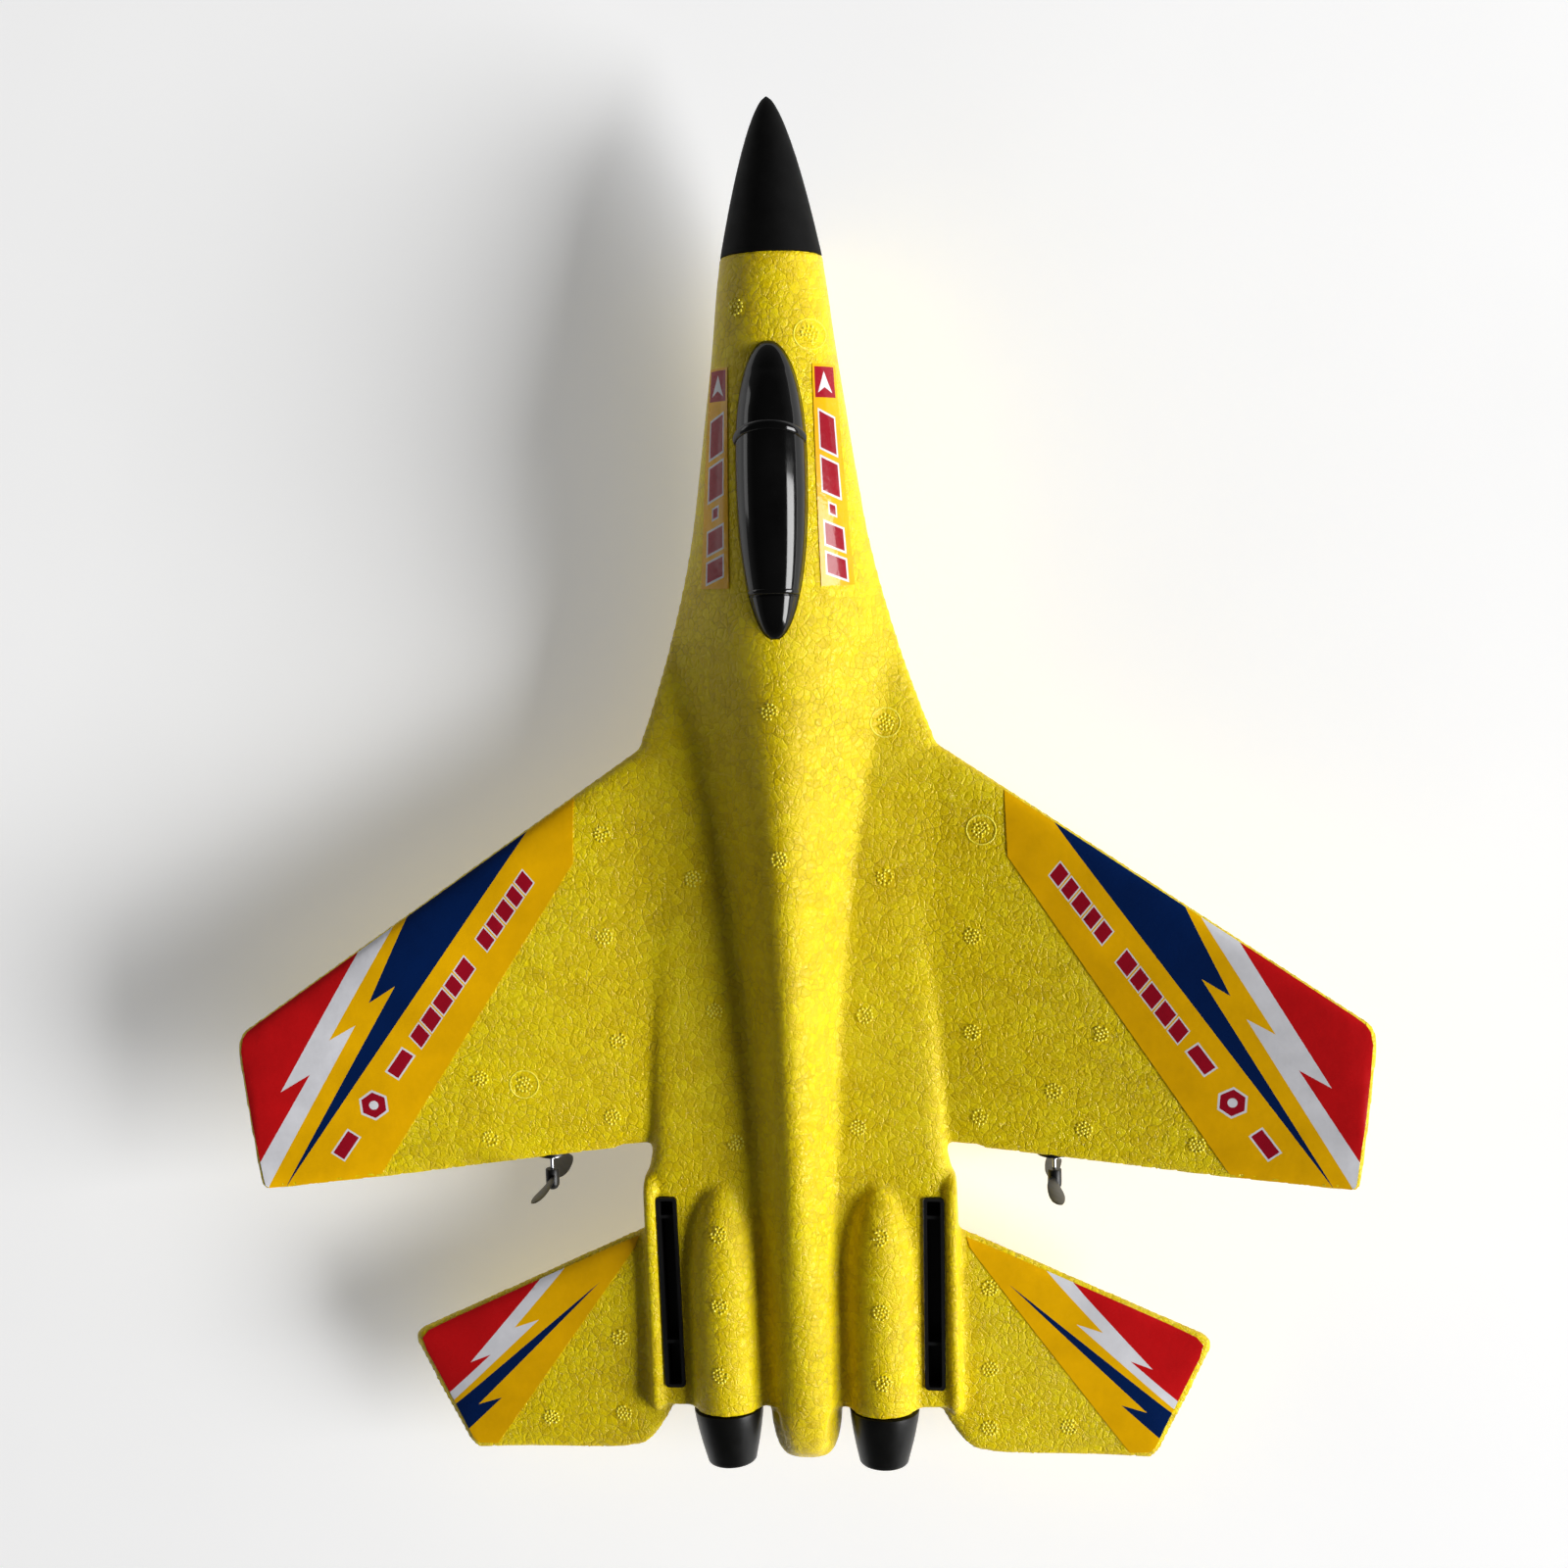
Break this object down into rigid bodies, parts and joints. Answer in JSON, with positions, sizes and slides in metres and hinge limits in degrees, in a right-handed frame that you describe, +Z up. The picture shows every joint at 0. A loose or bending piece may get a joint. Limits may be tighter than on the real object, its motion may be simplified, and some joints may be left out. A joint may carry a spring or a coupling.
{
  "type": "radio-controlled foam jet aeroplane",
  "caption": "Foam radio-controlled jet with swept wings, tailplanes, bubble canopy, exhaust cones, empty fin sockets and small pusher propellers behind the wings.",
  "frame": {"origin": "centre of the footprint on the belly rest plane, on the plane of symmetry", "axes": "+Z up, nose towards -Y, the aeroplane's own left wing towards +X"},
  "size_m": [0.3066, 0.3714, 0.0537],
  "materials": {
    "yellow_foam": "glossy painted skin over moulded bead foam",
    "printed_film": "glossy printed sticker film",
    "gloss_black": "polished",
    "black_plastic": "satin moulded",
    "battery_foil": "foil pouch with a soft sheen",
    "sponge": "open-cell sponge",
    "steel": "drawn and plated",
    "motor_steel": "drawn can",
    "tinned_metal": "tinned",
    "contact_brass": "plated",
    "ivory_plastic": "moulded",
    "circuit_board": "green solder mask",
    "chip_black": "moulded epoxy",
    "red_lamp": "clear tinted",
    "wire_sheath": "flexible insulation"
  },
  "bodies": {
    "airframe": {"foam_airframe": "yellow_foam", "nose_cone": "black_plastic", "canopy": "gloss_black", "left_exhaust_nozzle": "black_plastic", "right_exhaust_nozzle": "black_plastic", "left_fin_socket": "black_plastic", "right_fin_socket": "black_plastic", "left_wing_decal": "printed_film", "right_wing_decal": "printed_film", "left_tail_decal": "printed_film", "right_tail_decal": "printed_film", "left_flank_decal": "printed_film", "right_flank_decal": "printed_film", "equipment_tray": "black_plastic", "hatch_hinge_pin": "steel", "electronics_cover": "black_plastic", "cover_screws": "steel", "battery": "battery_foil", "battery_pad": "sponge", "battery_lead": "wire_sheath", "battery_plug": "ivory_plastic", "battery_socket": "ivory_plastic", "receiver_board": "circuit_board", "control_chip": "chip_black", "crystal_can": "tinned_metal", "motor_transistors": "chip_black", "antenna_wire": "wire_sheath", "switch_body": "tinned_metal", "charge_socket": "ivory_plastic", "charge_pins": "contact_brass", "status_led": "red_lamp", "left_motor_pod": "black_plastic", "right_motor_pod": "black_plastic", "left_motor_can": "motor_steel", "right_motor_can": "motor_steel", "left_motor_wires": "wire_sheath", "right_motor_wires": "wire_sheath"},
    "power_switch": {"switch_slider": "black_plastic"},
    "battery_door": {"battery_hatch": "black_plastic"},
    "left_prop": {"left_propeller": "black_plastic", "left_motor_shaft": "steel"},
    "right_prop": {"right_propeller": "black_plastic", "right_motor_shaft": "steel"}
  },
  "joints": [
    {"name": "left_prop_spin", "type": "hinge", "parent": "airframe", "child": "left_prop", "pos_m": [0.07, 0.10475, 0.02687], "axis": [0, 1, 0], "continuous": true},
    {"name": "right_prop_spin", "type": "hinge", "parent": "airframe", "child": "right_prop", "pos_m": [-0.07, 0.10475, 0.02687], "axis": [0, 1, 0], "continuous": true},
    {"name": "battery_door_hinge", "type": "hinge", "parent": "airframe", "child": "battery_door", "pos_m": [0, -0.10045, 0.0121], "axis": [-1, 0, 0], "range_deg": [0, 100]},
    {"name": "power_switch_slide", "type": "slide", "parent": "airframe", "child": "power_switch", "axis": [0, 1, 0], "range_m": [0, 0.002]}
  ]
}
